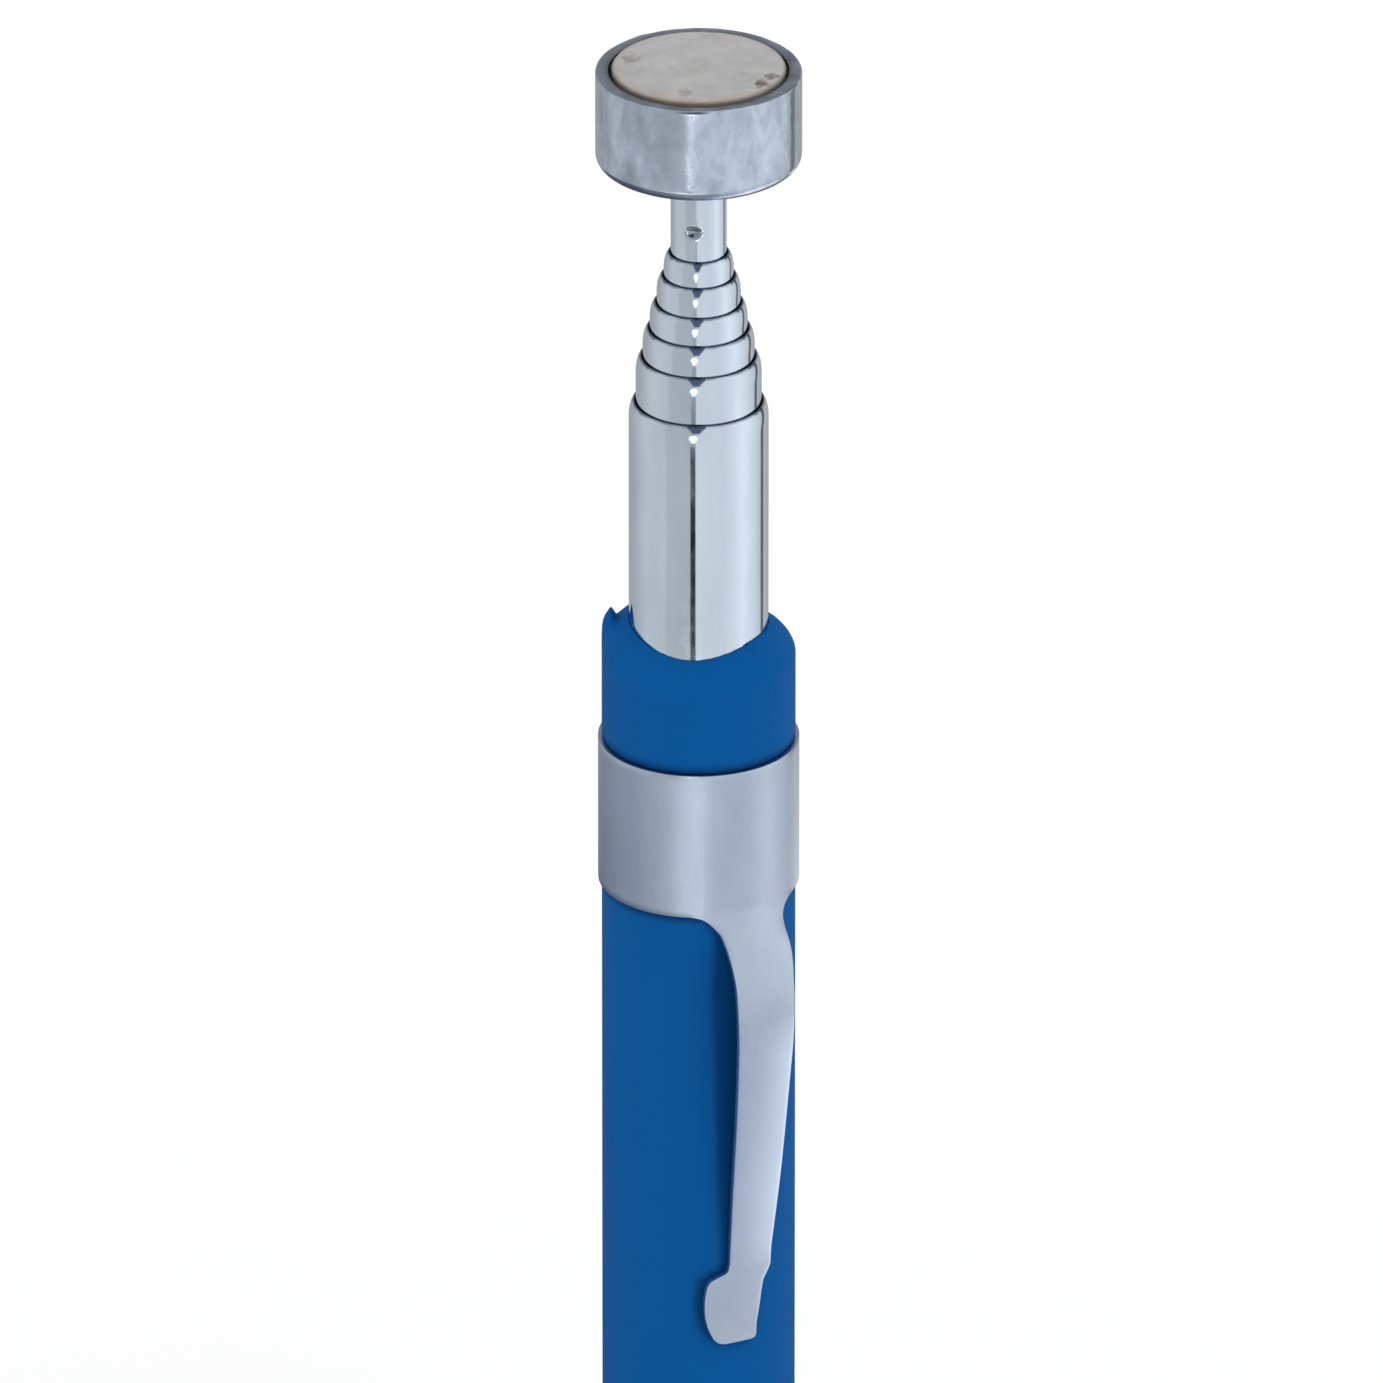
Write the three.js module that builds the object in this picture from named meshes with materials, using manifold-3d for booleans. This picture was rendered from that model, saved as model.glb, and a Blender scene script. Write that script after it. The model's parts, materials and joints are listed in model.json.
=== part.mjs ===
// Telescopic magnetic pickup tool, pen style, shown closed.
// Millimetres, +Z up along the tool, origin at the middle of the grip's flat base, pocket clip towards -Y.
// A blind vinyl sleeve holds the barrel; six sections nest in it, and the last one carries the magnet head.
import * as THREE from "three";
import { mergeVertices } from "three/addons/utils/BufferGeometryUtils.js";
import Module from "manifold-3d";

const wasm = await Module();
wasm.setup();

// ---- Driving dimensions -------------------------------------------------------------------------
const CLOSED_LENGTH = 135;
const TRAVEL = 86; // slide of each section, so the tool opens to CLOSED_LENGTH + 6 * TRAVEL = 651
const ROUND = 32; // facets of every round piece; the same for all, so that nested walls stay parallel

// Tube diameters grow by 1 mm a section, from the magnet's end to the barrel.
const BARREL_RADIUS = 5;
const RADIUS_STEP = 0.5;
const TUBE_WALL = 0.25;
const BARREL_MOUTH_Z = 109;
const STAND_OUT = [3.5, 2.2, 2, 2.1, 1.8]; // how far sections 1 to 5 show above the tube that holds them
const SECTION_LENGTH = 104;
const MOUTH_GAP = 0.08; // radial clearance between a rolled mouth and the tube that slides in it
const MOUTH_ROLL = 1.2; // height of the rolled-in shoulder
const MOUTH_BEND = 0.35; // share of that height, below the mouth, where the shoulder bends most
const MOUTH_DEPTH = 0.48; // height of the hole's wall inside the mouth
const MOUTH_STEPS = 3;
const LIP = 0.12; // flat top of the rolled mouth
const FLARE = 0.2; // radial flare of a section's lower end, which drives its friction spring
const FLARE_HEIGHT = 1;

const SPRING_INNER_GAP = 0.04;
const SPRING_OUTER_GAP = 0.04;
const SPRING_SLIT = 0.9;
const PLUG_GAP = 0.03;
const PLUG_INSET = 0.15;
const REST_GAP = 0.05; // between a section's lower end and the plug that it rests on when closed

const ROD_RADIUS = BARREL_RADIUS - 6 * RADIUS_STEP;
const ROD_WALL = 0.4;

const HEAD_RADIUS = 7.36;
const HEAD_HEIGHT = 7.4;
const CUP_FLOOR = 2.2;
const CUP_WALL = 0.93;
const CUP_EDGE = 0.18;
const CUP_FOOT_RADIUS = 0.7;
const RIM_BELOW_FACE = 0.2;
const MAGNET_RADIUS = 6.2;
const MAGNET_EDGE = 0.12;
const GLUE_BELOW_RIM = 0.25;
const GLUE_GAP = 0.02; // between the resin ring and the walls beside it
const STUD_RADIUS = 1.5;
const STUD_GAP = 0.06; // radial, between the stud and the cup
const STUD_LENGTH = 6; // below the cup
const STUD_CHAMFER = 0.3;
const STUD_HEAD_RADIUS = 2.6;
const STUD_HEAD_HEIGHT = 0.8;
const CRIMP_Z = 122.9;
const CRIMP_RADIUS = 0.62;
const CRIMP_DEPTH = 0.3;
const CRIMP_START = 0.3; // how far outside the tube the cutting cone starts
const CRIMP_FACETS = 16;
const CRIMP_ANGLE = THREE.MathUtils.degToRad(-131.6);

const GRIP_RADIUS = 6.95;
const GRIP_TOP_Z = 91.7;
const GRIP_BORE = BARREL_RADIUS + 0.04; // radius
const GRIP_FLOOR = 1.9;
const GRIP_LIP_RADIUS = 1.3;
const GRIP_INNER_LIP = 0.35;
const GRIP_FOOT_RADIUS = 1.5;
const BARREL_FOOT_Z = 2.3;
const BARREL_PLUG_FLANGE = 0.3;

const CLIP_SHEET = 0.5;
const BAND_RADIUS = 7.22; // outside; the band beds into the soft vinyl
const BAND_TOP_Z = 82.6;
const BAND_FOOT_Z = 71.4;
const BAND_SEAM = 0.7;
const BAND_BEDDING_GAP = 0.05;
const ARM_TOP_Z = 71.1;
const ARM_FOOT_Z = 37.5;
const ARM_COLUMNS = 4;
const ARM_ROWS = 40;
const ARC_STEPS = 4; // facets of each rounded edge
const WELD_DISTANCE = 1e-4;

// The clip arm as functions of height: the radius of its outer face, and its left and right edges.
const ARM_FACE = [
  [37.5, 7.62], [40, 7.5], [43.2, 7.5], [44.5, 7.58], [46, 7.78], [48, 8.07], [52, 8.69], [56, 9.23],
  [60, 9.67], [62, 9.83], [64, 9.92], [65.5, 9.86], [67, 9.62], [68.2, 9.2], [69, 8.75], [69.8, 8.12],
  [70.5, 7.66], [71.1, 7.52],
];
const ARM_LEFT = [
  [37.5, -2.3], [37.8, -2.84], [38.4, -3.17], [39, -3.4], [40, -3.57], [41, -3.58], [41.6, -3.5],
  [42.3, -3.3], [42.7, -2.9], [43.2, -1.8], [44, -1.7], [46, -1.74], [50, -1.88], [56, -2.05], [62, -2.2],
  [66, -2.31], [67, -2.25], [68.5, -2.14], [69.5, -2.16], [70.3, -2.4], [70.8, -2.87], [71.1, -3.3],
];
const ARM_RIGHT = [
  [37.5, 0.25], [37.9, 0.42], [39, 0.56], [41, 0.89], [42, 1.1], [42.6, 1.45], [43.2, 1.72], [44, 1.72],
  [46, 1.82], [50, 1.98], [56, 2.12], [62, 2.28], [66, 2.36], [68.5, 2.4], [70.3, 2.6], [71.1, 3],
];
const ARM_FLAT_BELOW_Z = 66; // above this the arm takes up the band's curve

// ---- Derived places -----------------------------------------------------------------------------
const HEAD_FOOT_Z = CLOSED_LENGTH - HEAD_HEIGHT;
const CUP_FLOOR_Z = HEAD_FOOT_Z + CUP_FLOOR;

// Nested tubes from the barrel, number 0, to the rod with the magnet, number 6.
const tubes = [{ radius: BARREL_RADIUS, mouth: BARREL_MOUTH_Z, foot: BARREL_FOOT_Z }];
for (const standOut of STAND_OUT) {
  const outer = tubes.at(-1);
  const mouth = outer.mouth + standOut;
  tubes.push({ radius: outer.radius - RADIUS_STEP, mouth, foot: mouth - SECTION_LENGTH });
}
tubes.push({
  radius: ROD_RADIUS,
  mouth: HEAD_FOOT_Z - REST_GAP,
  foot: tubes.at(-1).foot + STAND_OUT.at(-1),
});

// ---- Materials ----------------------------------------------------------------------------------
const finish = (color, roughness, metalness) =>
  new THREE.MeshStandardMaterial({ color, roughness, metalness });
const brightPlating = finish(0xc9d2dc, 0.15, 1);
const zincPlating = finish(0xa4acb8, 0.35, 1);
const magnetPlating = finish(0xb0afb0, 0.5, 0.8);
const clipSteel = finish(0xa3afbf, 0.3, 1);
const springBronze = finish(0xb98a4a, 0.35, 1);
const plugSteel = finish(0x8c9096, 0.4, 1);
const epoxy = finish(0x2a2522, 0.7, 0);
const blueVinyl = finish(0x0f5495, 0.5, 0);

// ---- Shape helpers ------------------------------------------------------------------------------
const point = (radius, z) => new THREE.Vector2(radius, z);

// Points of an arc in the profile plane, ends included; angles in degrees from the outward direction.
function arc(middle, size, from, to) {
  const { degToRad } = THREE.MathUtils;
  const curve = new THREE.EllipseCurve(middle.x, middle.y, size, size, degToRad(from), degToRad(to));
  return curve.getPoints(ARC_STEPS);
}

// A solid of revolution about +Z. The profile runs up the outside; a ring's profile closes on itself.
function turned(profile) {
  const onAxis = profile[0].x === 0 && profile.at(-1).x === 0;
  const outline = onAxis ? profile : [...profile, profile[0].clone()];
  return new THREE.LatheGeometry(outline, ROUND).rotateX(Math.PI / 2);
}

function solidOf(geometry) {
  const bare = geometry.clone();
  bare.deleteAttribute("normal");
  bare.deleteAttribute("uv");
  const merged = mergeVertices(bare, WELD_DISTANCE);
  return new wasm.Manifold(
    new wasm.Mesh({
      numProp: 3,
      vertProperties: merged.getAttribute("position").array,
      triVerts: new Uint32Array(merged.index.array),
    }),
  );
}

function geometryOf(solid) {
  const mesh = solid.getMesh();
  return new THREE.BufferGeometry()
    .setAttribute("position", new THREE.BufferAttribute(mesh.vertProperties, 3))
    .setIndex(new THREE.BufferAttribute(mesh.triVerts, 1));
}

// A ring with a slit at +Y, as rolled sheet leaves it, standing from one height to another.
function splitRing(inner, outer, slit, from, to) {
  const half = Math.asin(slit / 2 / outer);
  const start = Math.PI / 2 + half;
  const end = Math.PI / 2 + 2 * Math.PI - half;
  const shape = new THREE.Shape();
  shape.absarc(0, 0, outer, start, end, false);
  shape.absarc(0, 0, inner, end, start, true);
  const geometry = new THREE.ExtrudeGeometry(shape, {
    depth: to - from,
    bevelEnabled: false,
    curveSegments: ROUND,
  });
  return geometry.translate(0, 0, from);
}

// A value read at height z from [height, value] pairs, straight between them.
function valueAt(pairs, z) {
  const above = Math.max(1, pairs.findIndex(([height]) => height >= z - 1e-9));
  const [[lowZ, low], [highZ, high]] = [pairs[above - 1], pairs[above]];
  return THREE.MathUtils.mapLinear(z, lowZ, highZ, low, high);
}

const group = new THREE.Group();
function add(name, geometry, material) {
  const mesh = new THREE.Mesh(geometry, material);
  mesh.name = name;
  group.add(mesh);
}

// ---- Telescopic tubes ---------------------------------------------------------------------------
// The rolled mouth, from the full radius up and in to the hole that the next tube slides through.
function rolledMouth(tube) {
  const hole = tube.radius - RADIUS_STEP + MOUTH_GAP;
  const shoulder = new THREE.QuadraticBezierCurve(
    point(tube.radius, tube.mouth - MOUTH_ROLL),
    point(tube.radius, tube.mouth - MOUTH_BEND * MOUTH_ROLL),
    point(hole + LIP, tube.mouth),
  );
  return [
    ...shoulder.getPoints(MOUTH_STEPS),
    point(hole, tube.mouth),
    point(hole, tube.mouth - MOUTH_DEPTH),
  ];
}

function barrelTube() {
  const tube = tubes[0];
  const bore = tube.radius - TUBE_WALL;
  return turned([
    point(tube.radius, tube.foot),
    ...rolledMouth(tube),
    point(bore, tube.mouth - MOUTH_ROLL),
    point(bore, tube.foot),
  ]);
}

function sectionTube(tube) {
  const bore = tube.radius - TUBE_WALL;
  return turned([
    point(tube.radius + FLARE, tube.foot),
    point(tube.radius + FLARE, tube.foot + FLARE_HEIGHT),
    point(tube.radius, tube.foot + FLARE_HEIGHT),
    ...rolledMouth(tube),
    point(bore, tube.mouth - MOUTH_ROLL),
    point(bore, tube.foot),
  ]);
}

// The last section: a thicker tube, crimped onto the stud under the magnet cup by one dimple.
function rodTube(tube) {
  const bore = tube.radius - ROD_WALL;
  const tubeSolid = solidOf(
    turned([
      point(tube.radius + FLARE, tube.foot),
      point(tube.radius + FLARE, tube.foot + FLARE_HEIGHT),
      point(tube.radius, tube.foot + FLARE_HEIGHT),
      point(tube.radius, tube.mouth),
      point(bore, tube.mouth),
      point(bore, tube.foot),
    ]),
  );
  const depth = CRIMP_DEPTH + CRIMP_START;
  const cone = new THREE.ConeGeometry((CRIMP_RADIUS * depth) / CRIMP_DEPTH, depth, CRIMP_FACETS)
    .rotateZ(Math.PI / 2)
    .translate(tube.radius - CRIMP_DEPTH + depth / 2, 0, 0)
    .rotateZ(CRIMP_ANGLE)
    .translate(0, 0, CRIMP_Z);
  return geometryOf(tubeSolid.subtract(solidOf(cone)));
}

// A split bronze sleeve round a section's lower end: it grips the bore and stops against the rolled mouth.
function frictionSpring(section, outer) {
  const from = section.foot + FLARE_HEIGHT + REST_GAP;
  const to = outer.mouth - MOUTH_ROLL - TRAVEL - REST_GAP;
  const bore = outer.radius - TUBE_WALL;
  return splitRing(section.radius + SPRING_INNER_GAP, bore - SPRING_OUTER_GAP, SPRING_SLIT, from, to);
}

// The plug pressed into a section's lower end, on which the next section rests when closed.
function sectionPlug(tube, inner) {
  const radius = tube.radius - TUBE_WALL - PLUG_GAP;
  const from = tube.foot + PLUG_INSET;
  const to = inner.foot - REST_GAP;
  return turned([point(0, from), point(radius, from), point(radius, to), point(0, to)]);
}

function barrelPlug() {
  const { radius, foot } = tubes[0];
  const body = radius - TUBE_WALL - PLUG_GAP;
  const top = tubes[1].foot - REST_GAP;
  return turned([
    point(0, foot - BARREL_PLUG_FLANGE),
    point(radius - REST_GAP, foot - BARREL_PLUG_FLANGE),
    point(radius - REST_GAP, foot - REST_GAP),
    point(body, foot - REST_GAP),
    point(body, top),
    point(0, top),
  ]);
}

add("barrel_tube", barrelTube(), brightPlating);
add("barrel_plug", barrelPlug(), plugSteel);
tubes.slice(1).forEach((tube, i) => {
  const name = `section_${i + 1}`;
  const isRod = i === tubes.length - 2;
  add(`${name}_tube`, isRod ? rodTube(tube) : sectionTube(tube), brightPlating);
  add(`${name}_spring`, frictionSpring(tube, tubes[i]), springBronze);
  if (!isRod) add(`${name}_plug`, sectionPlug(tube, tubes[i + 2]), plugSteel);
});

// ---- Magnet head --------------------------------------------------------------------------------
function magnetCup() {
  const rim = CLOSED_LENGTH - RIM_BELOW_FACE;
  const inner = HEAD_RADIUS - CUP_WALL;
  const hole = STUD_RADIUS + STUD_GAP;
  const seat = CUP_FLOOR_Z - STUD_HEAD_HEIGHT - REST_GAP;
  const seatRadius = STUD_HEAD_RADIUS + STUD_GAP;
  const footMiddle = point(HEAD_RADIUS - CUP_FOOT_RADIUS, HEAD_FOOT_Z + CUP_FOOT_RADIUS);
  return turned([
    point(hole, HEAD_FOOT_Z),
    ...arc(footMiddle, CUP_FOOT_RADIUS, -90, 0),
    point(HEAD_RADIUS, rim - CUP_EDGE),
    point(HEAD_RADIUS - CUP_EDGE, rim),
    point(inner, rim),
    point(inner, CUP_FLOOR_Z),
    point(seatRadius, CUP_FLOOR_Z),
    point(seatRadius, seat),
    point(hole, seat),
  ]);
}

function magnetDisc() {
  const foot = CUP_FLOOR_Z + REST_GAP;
  return turned([
    point(0, foot),
    point(MAGNET_RADIUS, foot),
    point(MAGNET_RADIUS, CLOSED_LENGTH - MAGNET_EDGE),
    point(MAGNET_RADIUS - MAGNET_EDGE, CLOSED_LENGTH),
    point(0, CLOSED_LENGTH),
  ]);
}

function glueRing() {
  const inner = MAGNET_RADIUS + GLUE_GAP;
  const outer = HEAD_RADIUS - CUP_WALL - GLUE_GAP;
  const foot = CUP_FLOOR_Z + REST_GAP;
  const top = CLOSED_LENGTH - RIM_BELOW_FACE - GLUE_BELOW_RIM;
  return turned([point(outer, foot), point(outer, top), point(inner, top), point(inner, foot)]);
}

function headStud() {
  const top = CUP_FLOOR_Z;
  const under = top - STUD_HEAD_HEIGHT;
  const foot = HEAD_FOOT_Z - STUD_LENGTH;
  return turned([
    point(0, foot),
    point(STUD_RADIUS - STUD_CHAMFER, foot),
    point(STUD_RADIUS, foot + STUD_CHAMFER),
    point(STUD_RADIUS, under),
    point(STUD_HEAD_RADIUS, under),
    point(STUD_HEAD_RADIUS, top),
    point(0, top),
  ]);
}

add("magnet_cup", magnetCup(), zincPlating);
add("magnet_disc", magnetDisc(), magnetPlating);
add("magnet_glue_ring", glueRing(), epoxy);
add("head_stud", headStud(), plugSteel);

// ---- Grip and pocket clip -----------------------------------------------------------------------
function gripSleeve() {
  const bed = BAND_RADIUS - CLIP_SHEET - BAND_BEDDING_GAP;
  const footMiddle = point(GRIP_RADIUS - GRIP_FOOT_RADIUS, GRIP_FOOT_RADIUS);
  const lipMiddle = point(GRIP_RADIUS - GRIP_LIP_RADIUS, GRIP_TOP_Z - GRIP_LIP_RADIUS);
  return turned([
    point(0, 0),
    ...arc(footMiddle, GRIP_FOOT_RADIUS, -90, 0),
    point(GRIP_RADIUS, BAND_FOOT_Z - REST_GAP),
    point(bed, BAND_FOOT_Z - REST_GAP),
    point(bed, BAND_TOP_Z + REST_GAP),
    point(GRIP_RADIUS, BAND_TOP_Z + REST_GAP),
    ...arc(lipMiddle, GRIP_LIP_RADIUS, 0, 90),
    point(GRIP_BORE + GRIP_INNER_LIP, GRIP_TOP_Z),
    point(GRIP_BORE, GRIP_TOP_Z - GRIP_INNER_LIP),
    point(GRIP_BORE, GRIP_FLOOR),
    point(0, GRIP_FLOOR),
  ]);
}

// The arm is a strip of sheet: a divided box whose vertices are placed by height, edge and face.
function clipArm() {
  const geometry = new THREE.BoxGeometry(1, 1, 1, ARM_COLUMNS, 1, ARM_ROWS);
  const places = geometry.getAttribute("position");
  for (let i = 0; i < places.count; i++) {
    const z = THREE.MathUtils.mapLinear(places.getZ(i), -0.5, 0.5, ARM_FOOT_Z, ARM_TOP_Z);
    const across = THREE.MathUtils.lerp(valueAt(ARM_LEFT, z), valueAt(ARM_RIGHT, z), places.getX(i) + 0.5);
    const outerFace = places.getY(i) < 0;
    const radius = valueAt(ARM_FACE, z) - (outerFace ? 0 : CLIP_SHEET);
    const curl = THREE.MathUtils.smoothstep(z, ARM_FLAT_BELOW_Z, ARM_TOP_Z);
    const angle = across / BAND_RADIUS;
    places.setXYZ(
      i,
      THREE.MathUtils.lerp(across, radius * Math.sin(angle), curl),
      THREE.MathUtils.lerp(-radius, -radius * Math.cos(angle), curl),
      z,
    );
  }
  return geometry;
}

add("grip_sleeve", gripSleeve(), blueVinyl);
const band = splitRing(BAND_RADIUS - CLIP_SHEET, BAND_RADIUS, BAND_SEAM, BAND_FOOT_Z, BAND_TOP_Z);
add("clip_band", band, clipSteel);
add("clip_arm", clipArm(), clipSteel);

export default group;
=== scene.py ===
"""The looks of a telescopic magnetic pickup tool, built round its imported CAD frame.

Lengths are in metres, on the frame's own axes: +Z up the tool, the middle of the pocket clip's arm on -Y.
Angles round the tool are measured from +X towards +Y, in radians.
"""

import json
import math

import bmesh
import bpy
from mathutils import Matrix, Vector, noise


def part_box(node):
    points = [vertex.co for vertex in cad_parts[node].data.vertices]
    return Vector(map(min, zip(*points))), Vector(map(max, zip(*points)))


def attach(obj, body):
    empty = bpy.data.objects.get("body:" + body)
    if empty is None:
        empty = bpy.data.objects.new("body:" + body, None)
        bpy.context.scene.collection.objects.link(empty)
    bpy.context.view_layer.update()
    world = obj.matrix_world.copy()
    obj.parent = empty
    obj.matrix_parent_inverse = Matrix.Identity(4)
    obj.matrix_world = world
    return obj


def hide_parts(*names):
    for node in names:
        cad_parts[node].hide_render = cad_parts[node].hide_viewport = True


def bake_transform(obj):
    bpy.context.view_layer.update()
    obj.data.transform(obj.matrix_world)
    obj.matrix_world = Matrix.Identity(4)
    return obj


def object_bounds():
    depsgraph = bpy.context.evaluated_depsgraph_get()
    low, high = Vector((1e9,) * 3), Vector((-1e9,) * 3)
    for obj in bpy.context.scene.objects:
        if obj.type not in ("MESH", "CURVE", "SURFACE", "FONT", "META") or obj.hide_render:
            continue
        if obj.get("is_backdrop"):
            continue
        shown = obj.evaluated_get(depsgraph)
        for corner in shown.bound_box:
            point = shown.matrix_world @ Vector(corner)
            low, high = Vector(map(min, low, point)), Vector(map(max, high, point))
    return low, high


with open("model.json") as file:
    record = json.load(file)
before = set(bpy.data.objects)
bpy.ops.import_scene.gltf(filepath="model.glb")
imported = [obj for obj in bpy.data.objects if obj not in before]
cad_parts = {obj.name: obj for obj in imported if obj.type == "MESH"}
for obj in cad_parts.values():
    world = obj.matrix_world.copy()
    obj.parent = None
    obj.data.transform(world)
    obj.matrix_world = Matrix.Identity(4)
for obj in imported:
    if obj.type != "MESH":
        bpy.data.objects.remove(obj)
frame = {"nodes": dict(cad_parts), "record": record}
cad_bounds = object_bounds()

MM = 0.001
SEGMENTS = 160  # points round a turned piece
POLE = 1e-9  # a radius below this is on the axis

# ---- Camera and where it stands -----------------------------------------------------------------
CAMERA_AZIMUTH = math.radians(-30)
CAMERA_ELEVATION = math.radians(25.3)
CAMERA_DISTANCE = 2.5
CAMERA_LENS = 908.5
SENSOR = 36
AIM_HEIGHT = 85.93 * MM
AIM_LEFT = 0.51 * MM
FRONT = CAMERA_AZIMUTH - math.pi / 2  # the angle round the tool that faces the camera

# ---- Tubes --------------------------------------------------------------------------------------
RADIUS_STEP = 0.5 * MM
TUBE_WALL = 0.25 * MM
ROD_WALL = 0.4 * MM
FLARE = 0.2 * MM
FLARE_HEIGHT = 1 * MM
MOUTH_GAP = 0.08 * MM
MOUTH_ROLL = 1.3 * MM
MOUTH_LAND = 0.3 * MM  # a short straight under the roll
MOUTH_STEPS = 12
LIP = 0.1 * MM
LIP_EDGE = 0.05 * MM
LIP_SHADE_FROM = 0.09 * MM  # the painted shade round a lip thins out between these distances from the hole
LIP_SHADE_TO = 0.2 * MM
CRIMP_BELOW_CUP = 4.7 * MM
CRIMP_ANGLE = FRONT - math.radians(10)
CRIMP_RADIUS = 0.78 * MM
CRIMP_HALF_HEIGHT = 0.62 * MM
CRIMP_DEPTH = 0.22 * MM
CRIMP_SPAN = 2.4 * MM  # the height of rod round the crimp that has fine rows of points
CRIMP_ROWS = 64

# ---- Head ---------------------------------------------------------------------------------------
CUP_WALL = 0.93 * MM
CUP_FLOOR = 2.2 * MM
CUP_FOOT_RADIUS = 0.85 * MM
CUP_BORE = 1.56 * MM
STUD_SEAT_RADIUS = 2.66 * MM
STUD_SEAT_DEPTH = 0.85 * MM

# ---- Grip and clip ------------------------------------------------------------------------------
GRIP_BORE = 5.04 * MM
GRIP_FLOOR = 1.9 * MM
GRIP_FOOT_RADIUS = 1.5 * MM
GRIP_LIP_RISE = 0.5 * MM  # how far the soft lip rises past the CAD sleeve's flat top
GRIP_LIP_HEIGHT = 2.6 * MM
GRIP_LIP_SLOPE = 0.53
GRIP_LIP_STEPS = 24
# Dips of the hand-cut mouth: how deep, at how many degrees to the camera's right, and how wide.
CUT_DIPS = [(1.45 * MM, -8, 62), (0.34 * MM, 68, 24)]
CUT_BACK_DROP = 0.78 * MM  # how much lower the mouth lies behind
CUT_STEP = 0.1 * MM
NIB_HEIGHT = 1.4 * MM  # the nib that the knife left, and its place and width in the same degrees
NIB_BEARING = -97
NIB_WIDTH = 7
# How far the painted shade round the clip reaches on the vinyl.
ARM_SHADE_REACH = 0.75 * MM
BAND_SHADE_CLEAR = 0.1 * MM
BAND_SHADE_REACH = 0.55 * MM
BED_GAP = 0.05 * MM
CLIP_SHEET = 0.5 * MM
CLIP_EDGE = 0.1 * MM
BAND_SEAM = 0.7 * MM
ARM_MIDDLE = -math.pi / 2  # the angle round the tool of the clip arm
ARM_FLAT_BELOW = 66 * MM  # above this the arm takes up the band's curve
ARM_CROWN_RADIUS = 16 * MM


# ---- Reading the frame --------------------------------------------------------------------------
def top(node):
    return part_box(node)[1].z


def foot(node):
    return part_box(node)[0].z


def radius(node):
    """The radius of a round node; its facets start on +X, so the box reaches the true radius there."""
    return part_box(node)[1].x


def smoothstep(low, high, value):
    t = min(max((value - low) / (high - low), 0), 1)
    return t * t * (3 - 2 * t)


def turn_between(angle, middle):
    """How far angle is from middle, the short way round, in radians."""
    return abs((angle - middle + math.pi) % (2 * math.pi) - math.pi)


def swell(value, middle, width):
    """1 at the middle, falling away smoothly on both sides."""
    return math.exp(-(((value - middle) / width) ** 2))


# ---- Mesh helpers -------------------------------------------------------------------------------
def mesh_object(name, vertices, faces, sharp=math.radians(35)):
    mesh = bpy.data.meshes.new(name)
    mesh.from_pydata(vertices, [], faces)
    work = bmesh.new()
    work.from_mesh(mesh)
    bmesh.ops.recalc_face_normals(work, faces=work.faces)
    work.to_mesh(mesh)
    work.free()
    mesh.shade_smooth()
    mesh.set_sharp_from_angle(angle=sharp)
    made = bpy.data.objects.new(name, mesh)
    bpy.context.scene.collection.objects.link(made)
    return made


def rounded(corners, steps=6):
    """An outline of (radius, height, fillet) corners with each fillet drawn as an arc.

    A short straight is kept beside each arc, so that the shading of the flats stays flat.
    """
    outline = []
    for i, (r, z, fillet) in enumerate(corners):
        here = Vector((r, z))
        if fillet == 0:
            outline.append((r, z))
            continue
        back = (Vector(corners[i - 1][:2]) - here).normalized()
        ahead = (Vector(corners[(i + 1) % len(corners)][:2]) - here).normalized()
        half = back.angle(ahead) / 2
        reach = fillet / math.tan(half)
        middle = here + (back + ahead).normalized() * (fillet / math.sin(half))
        first, last = here + back * reach, here + ahead * reach
        outline.append(tuple(first + back * fillet * 0.3))
        start = math.atan2(*reversed(first - middle))
        sweep = math.remainder(math.atan2(*reversed(last - middle)) - start, 2 * math.pi)
        for step in range(steps + 1):
            angle = start + sweep * step / steps
            outline.append((middle.x + fillet * math.cos(angle), middle.y + fillet * math.sin(angle)))
        outline.append(tuple(last + ahead * fillet * 0.3))
    return outline


def refined(outline, longest):
    """The outline with points added, so that no step is longer than this.

    An outline that starts on the axis stays open.
    """
    points = list(outline)
    if points[0][0] > POLE:
        points.append(points[0])
    dense = []
    for (r0, z0), (r1, z1) in zip(points, points[1:]):
        count = max(1, math.ceil(math.hypot(r1 - r0, z1 - z0) / longest))
        for step in range(count):
            t = step / count
            dense.append((r0 + (r1 - r0) * t, z0 + (z1 - z0) * t))
    if points[0][0] <= POLE:
        dense.append(points[-1])
    return dense


def turned(name, outline, warp=None, dirt_and_shade=None, segments=SEGMENTS):
    """A solid of revolution.

    warp(radius, height, angle) may move each point, for a shape that isn't quite round, and the second
    function, with the same arguments, says how much darker it is painted there, from 0 to 1, for dirt and
    for painted shade.
    """
    vertices, rings, darkening = [], [], []
    for r, z in outline:
        if r <= POLE:
            rings.append([len(vertices)])
            vertices.append((0, 0, z))
            darkening.append(0)
            continue
        ring = []
        for k in range(segments):
            angle = 2 * math.pi * k / segments
            moved_r, moved_z = warp(r, z, angle) if warp else (r, z)
            ring.append(len(vertices))
            vertices.append((moved_r * math.cos(angle), moved_r * math.sin(angle), moved_z))
            darkening.append(dirt_and_shade(r, z, angle) if dirt_and_shade else 0)
        rings.append(ring)
    following = rings[1:] + (rings[:1] if len(rings[0]) > 1 else [])
    faces = []
    for lower, upper in zip(rings, following):
        for k in range(segments):
            after = (k + 1) % segments
            if len(lower) == 1:
                faces.append((lower[0], upper[after], upper[k]))
            elif len(upper) == 1:
                faces.append((lower[k], lower[after], upper[0]))
            else:
                faces.append((lower[k], lower[after], upper[after], upper[k]))
    made = mesh_object(name, vertices, faces)
    made.data.attributes.new("dirt_and_shade", "FLOAT", "POINT").data.foreach_set("value", darkening)
    return made


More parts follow.
